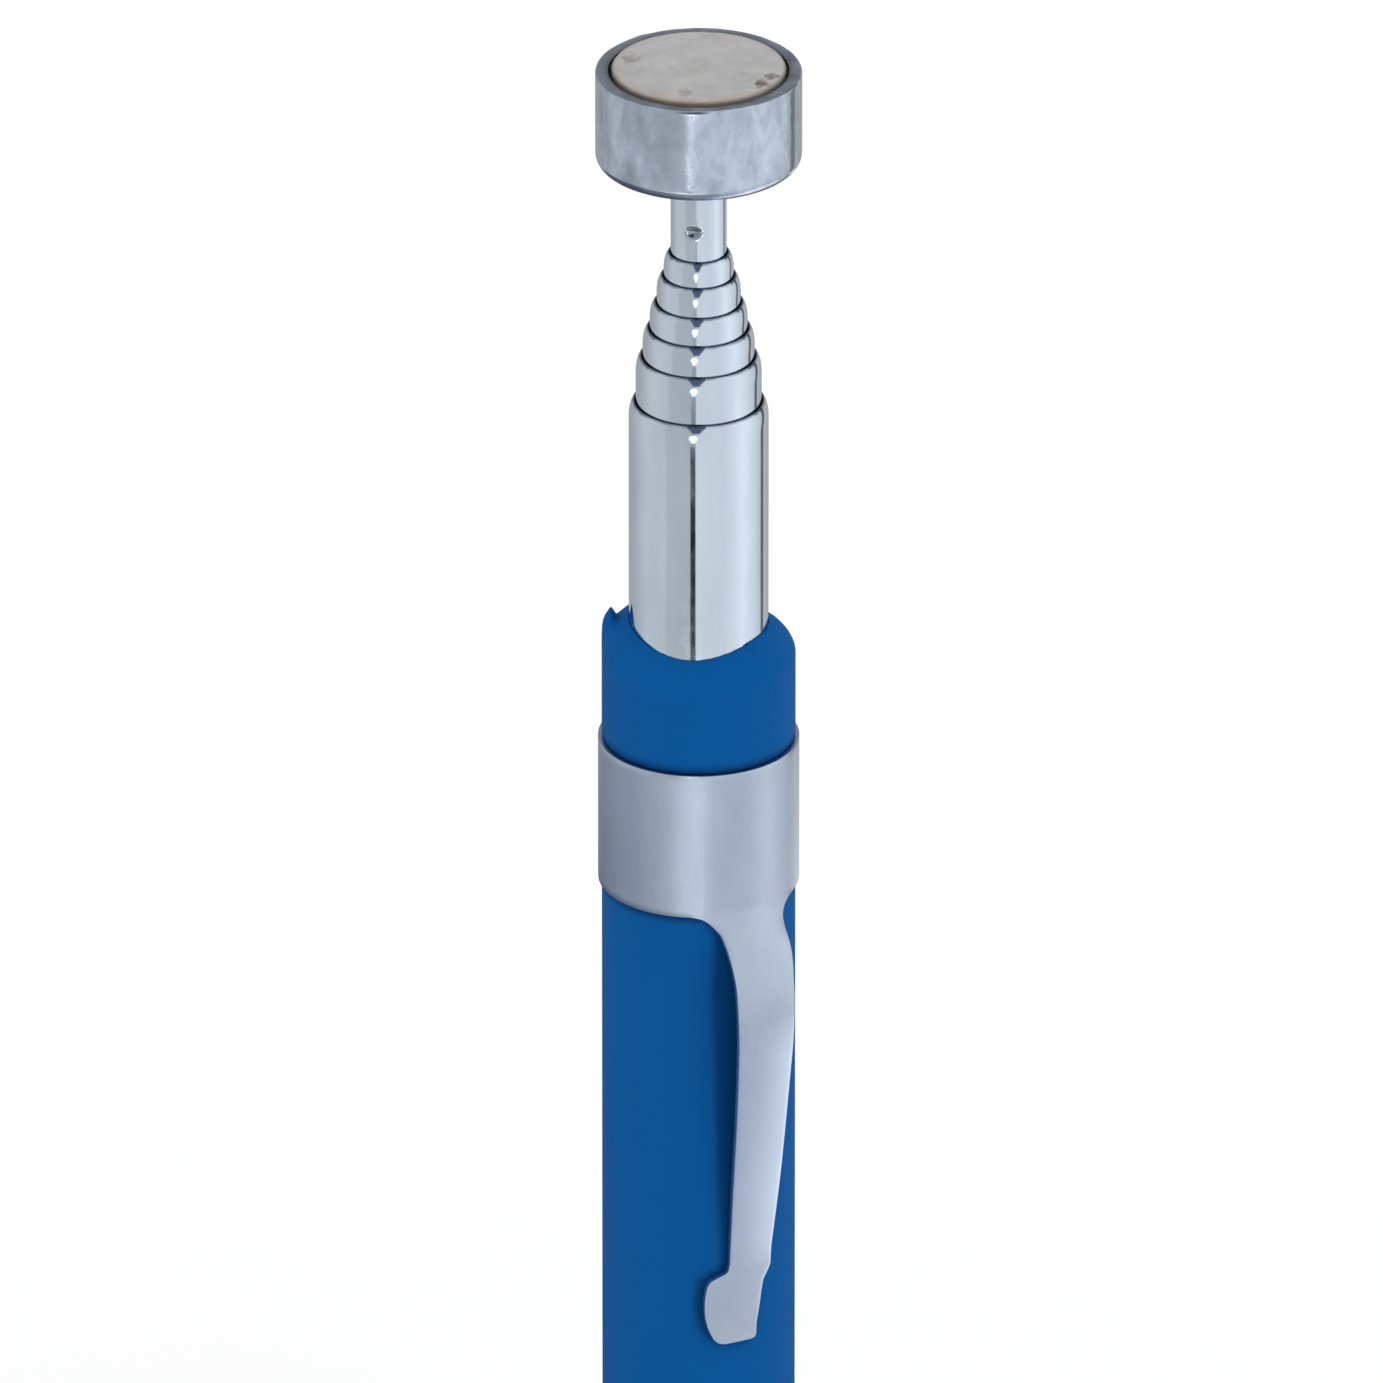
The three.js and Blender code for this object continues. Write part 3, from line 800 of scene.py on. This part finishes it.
def pocket_clip():
    outer, band_top, band_foot = radius("clip_band"), top("clip_band"), foot("clip_band")
    root = ARM_FACE[-1][0]
    left, right = ARM_LEFT[-1][1] * MM, ARM_RIGHT[-1][1] * MM
    half_round = math.pi * outer - BAND_SEAM / 2

    def spread(start, end, columns):
        """Distances round the band from start up to, but not including, end."""
        return [start + (end - start) * k / columns for k in range(columns)]

    across = spread(-half_round, left, BAND_COLUMNS_A_SIDE) + spread(left, right, ARM_COLUMNS)
    across += spread(right, half_round, BAND_COLUMNS_A_SIDE) + [half_round]
    vertices, faces = [], []

    def on_sheet(distance, z, face):
        """The point of the outer face at this distance round from the arm's middle."""
        curl = smoothstep(ARM_FLAT_BELOW, root * MM, z)
        angle = distance / outer
        round_point = Vector((face * math.sin(angle), -face * math.cos(angle)))
        flat_point = Vector((distance, distance * distance / (2 * ARM_CROWN_RADIUS) - face))
        x, y = flat_point.lerp(round_point, curl)
        return (x, y, z)

    for row in range(BAND_ROWS + 1):
        z = band_top + (band_foot - band_top) * row / BAND_ROWS
        vertices += [on_sheet(distance, z, outer) for distance in across]
    width = len(across)
    for row in range(BAND_ROWS):
        for k in range(width - 1):
            a = row * width + k
            faces.append((a, a + width, a + width + 1, a + 1))

    above = [BAND_ROWS * width + BAND_COLUMNS_A_SIDE + k for k in range(ARM_COLUMNS + 1)]
    for height in arm_heights():
        face = read_curve(ARM_FACE, height) * MM
        from_edge, to_edge = read_curve(ARM_LEFT, height) * MM, read_curve(ARM_RIGHT, height) * MM
        here = []
        for k in range(ARM_COLUMNS + 1):
            here.append(len(vertices))
            distance = from_edge + (to_edge - from_edge) * k / ARM_COLUMNS
            vertices.append(on_sheet(distance, height * MM, face))
        for k in range(ARM_COLUMNS):
            faces.append((above[k], here[k], here[k + 1], above[k + 1]))
        above = here

    flat = mesh_object("flat_clip", vertices, faces)
    thick = flat.modifiers.new("thickness", "SOLIDIFY")
    thick.thickness, thick.offset, thick.use_even_offset = CLIP_SHEET, -1, True
    edges = flat.modifiers.new("edges", "BEVEL")
    edges.width, edges.segments, edges.limit_method = CLIP_EDGE, 3, "ANGLE"
    edges.angle_limit = math.radians(50)
    settled = flat.evaluated_get(bpy.context.evaluated_depsgraph_get())
    mesh = bpy.data.meshes.new_from_object(settled)
    bpy.data.objects.remove(flat)
    clip = bpy.data.objects.new("pocket_clip", mesh)
    mesh.shade_smooth()
    mesh.set_sharp_from_angle(angle=math.radians(40))
    bpy.context.scene.collection.objects.link(clip)
    clip.data.materials.append(FINISHES["clip_steel"])
    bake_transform(clip)
    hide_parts("clip_band", "clip_arm")


pocket_clip()


# ---- Inner pieces keep their CAD shape ----------------------------------------------------------
for subpart in frame["record"]["subparts"]:
    node = frame["nodes"][subpart["node"]]
    if not node.hide_render:
        node.data.materials.clear()
        node.data.materials.append(FINISHES[subpart["material_slot"]])


# ---- Floor, lights and surroundings -------------------------------------------------------------
FLOOR_HALF = 60
TENT_RADIUS = 350 * MM
TENT_FOOT = -1.2
TENT_TOP = 1.6
# Where the tent's paint changes, as heights on it. The camera looks down, so a level on the tent shows in
# what stands higher on the tool: the ground in the clip's arm, the low walls in the lower part of its band,
# the walls in the tubes, and the head lamp in the side of the cup.
GROUND_TOP = -115 * MM
LOW_WALLS_TOP = -88 * MM
POST_FOOT = -89 * MM
POST_PALE_FROM = -51.5 * MM
POST_TOP = -30.5 * MM
HEAD_LAMP_FOOT = -29.5 * MM
HEAD_LAMP_TOP = -18 * MM
LAMP_FOOT = -24 * MM
LAMP_TOP = 100 * MM
CAMERA_SHADE_FOOT = 135 * MM


def quad_floor(half):
    square = [(-half, -half, 0), (half, -half, 0), (half, half, 0), (-half, half, 0)]
    floor = mesh_object("floor", square, [(0, 1, 2, 3)])
    finish = Finish("pale_floor", grey(0.93), 0.9)
    floor.data.materials.append(finish.shade(Specular_IOR_Level=0.0))
    floor.visible_glossy = False
    floor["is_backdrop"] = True


def tent_light():
    """What the bright metal reflects, painted on the tent by bearing from the camera and by height.

    The walls are lighter on the right. A narrow dark post stands to the left of the middle, and another far
    to the right. Above the first one are a small lamp and a large oval one, and above them is the dark
    shape of the camera. Bearings are in degrees, to the camera's right.
    """
    finish = Finish("tent_light", grey(0.5), 1)
    nodes = finish.tree.nodes
    nodes.remove(finish.shader)
    x, y, z = finish.node("ShaderNodeSeparateXYZ", {0: finish.place}).outputs
    bearing = finish.math("ARCTAN2", y, x)
    turned_back = finish.math("SUBTRACT", bearing, FRONT)
    wrap = finish.node("ShaderNodeMath", {0: turned_back, 1: -math.pi, 2: math.pi}, operation="WRAP")
    degrees = finish.math("DEGREES", wrap.outputs[0])
    share = finish.fit(degrees, -180, 180, 0, 1)

    def all_round(stops):
        """Shades that change with the bearing, from (bearing, colour or grey) stops."""
        return finish.ramp(share, [((angle + 180) / 360, shade) for angle, shade in stops])

    def both(first, second):
        return finish.math("MULTIPLY", first, second)

    def within(value, low, high, soft):
        rise = finish.fit(value, low - soft, low + soft, 0, 1)
        fall = finish.fit(value, high - soft, high + soft, 1, 0)
        return both(rise, fall)

    def painted(under, mask, shade):
        return finish.mix(mask, under, (*grey(shade), 1))

    def above(height, soft):
        return finish.fit(z, height - soft, height + soft, 0, 1)

    def below(height, soft):
        return finish.fit(z, height - soft, height + soft, 1, 0)

    walls = all_round([
        (-180, 0.4), (-150, 0.4), (-131, 0.45), (-96, 0.6), (-58, 0.58), (-53, 0.5), (-8, 0.48), (-6, 0.74),
        (40, 0.72), (60, 0.8), (78, 0.93), (106, 0.74), (122, 0.62), (150, 0.46), (180, 0.4),
    ])
    low_walls = all_round([
        (-180, 0.2), (-127, (0.04, 0.08, 0.16)), (-75, (0.2, 0.27, 0.37)), (-50, 0.95), (-26, 1.7),
        (-12, 1.7), (2, 1.5), (16, 1.0), (30, 0.6), (60, (0.27, 0.28, 0.31)), (101, (0.15, 0.16, 0.18)),
        (122, 0.6), (140, 1.1), (165, 1.0), (180, 0.3),
    ])
    ground = all_round([
        (-180, 0.12), (-100, (0.12, 0.15, 0.2)), (-40, 0.25), (-10, 0.4), (15, 0.35),
        (34, (0.48, 0.52, 0.58)), (52, (0.56, 0.58, 0.65)), (66, (0.76, 0.74, 0.74)), (78, 0.9),
        (110, 0.8), (130, 0.4), (180, 0.12),
    ])
    bright_low = both(within(degrees, -24, 6, 6), 0.8)
    bright_ground = both(within(degrees, 80, 115, 10), 0.8)
    by_foot = both(within(degrees, 28, 80, 10), within(z, -146 * MM, -116 * MM, 10 * MM))
    colored = finish.mix(below(LOW_WALLS_TOP, 4 * MM), walls, painted(low_walls, bright_low, 3.2))
    colored = finish.mix(below(GROUND_TOP, 5 * MM), colored, painted(ground, bright_ground, 1.6))
    colored = painted(colored, both(by_foot, 0.6), 0.92)

    high_back = both(
        finish.math("GREATER_THAN", finish.math("ABSOLUTE", degrees), 110),
        within(z, 170 * MM, 600 * MM, 25 * MM),
    )
    colored = painted(colored, high_back, 0.3)

    post = within(degrees, -13.5, -5, 0.5)
    far_post = both(within(degrees, 124, 134, 1.5), above(-80 * MM, 3 * MM))
    colored = painted(colored, both(post, within(z, POST_FOOT, POST_PALE_FROM, 0.5 * MM)), 0.02)
    colored = painted(colored, both(post, within(z, POST_PALE_FROM, POST_TOP, 0.5 * MM)), 0.4)
    colored = painted(colored, far_post, 0.13)

    head_lamp = both(within(degrees, -12, -6.5, 1.5), within(z, HEAD_LAMP_FOOT, HEAD_LAMP_TOP, MM))
    colored = painted(colored, head_lamp, 1.8)
    lamp_right = finish.fit(degrees, -16, -1.4, -1, 1)
    lamp_up = finish.fit(z, LAMP_FOOT, LAMP_TOP, -1, 1)
    off_lamp = finish.math("ADD", both(lamp_right, lamp_right), both(lamp_up, lamp_up))
    colored = painted(colored, finish.fit(off_lamp, 0.2, 1, 1, 0), 2.2)

    shade_side = finish.math("ABSOLUTE", finish.math("ADD", degrees, 4))
    shade_half = finish.fit(z, 100 * MM, 420 * MM, 4, 19)
    in_shade = finish.fit(finish.math("SUBTRACT", shade_side, shade_half), -2, 2, 1, 0)
    camera_shade = both(in_shade, above(CAMERA_SHADE_FOOT, 25 * MM))
    colored = finish.mix(camera_shade, colored, (0.09, 0.115, 0.17, 1))

    glow = finish.node("ShaderNodeEmission", {"Color": colored, "Strength": 1.0})
    output = next(node for node in nodes if node.type == "OUTPUT_MATERIAL")
    finish.set(output, {"Surface": glow.outputs[0]})
    finish.material.cycles.emission_sampling = "NONE"
    return finish.material


def tent():
    outline = [(0, TENT_FOOT), (TENT_RADIUS, TENT_FOOT), (TENT_RADIUS, TENT_TOP), (0, TENT_TOP)]
    walls = turned("tent", outline)
    walls.data.materials.append(tent_light())
    walls.visible_camera = False
    walls.visible_diffuse = False
    walls.visible_shadow = False
    walls.visible_transmission = False
    walls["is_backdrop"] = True


def soft_light(name, location, size, power):
    light = bpy.data.lights.new(name, "AREA")
    light.shape, light.size, light.energy = "DISK", size, power
    lamp = bpy.data.objects.new(name, light)
    lamp.location = location
    lamp.rotation_mode = "QUATERNION"
    lamp.rotation_quaternion = (-Vector(location)).to_track_quat("-Z", "Y")
    lamp.visible_glossy = False
    bpy.context.scene.collection.objects.link(lamp)


def sky():
    world = bpy.data.worlds.new("soft_sky")
    world.use_nodes = True
    background = world.node_tree.nodes["Background"]
    background.inputs["Color"].default_value = (*grey(1), 1)
    background.inputs["Strength"].default_value = 1.0
    world.cycles_visibility.glossy = False
    bpy.context.scene.world = world


def camera():
    back = Vector((
        math.sin(CAMERA_AZIMUTH) * math.cos(CAMERA_ELEVATION),
        -math.cos(CAMERA_AZIMUTH) * math.cos(CAMERA_ELEVATION),
        math.sin(CAMERA_ELEVATION),
    ))
    right = Vector((math.cos(CAMERA_AZIMUTH), math.sin(CAMERA_AZIMUTH), 0))
    data = bpy.data.cameras.new("camera")
    data.lens, data.sensor_width = CAMERA_LENS, SENSOR
    data.clip_start, data.clip_end = 0.1, 100
    made = bpy.data.objects.new("camera", data)
    made.location = Vector((0, 0, AIM_HEIGHT)) - right * AIM_LEFT + back * CAMERA_DISTANCE
    made.rotation_mode = "QUATERNION"
    made.rotation_quaternion = (-back).to_track_quat("-Z", "Y")
    bpy.context.scene.collection.objects.link(made)
    bpy.context.scene.camera = made


quad_floor(FLOOR_HALF)
tent()
sky()
soft_light("key", location=(0.3, -1.2, 1.5), size=1.2, power=5)
camera()
bpy.context.scene.view_settings.view_transform = "Standard"


def corners(bounds):
    return [list(corner) for corner in bounds]


{"cad": corners(cad_bounds), "visual": corners(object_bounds())}
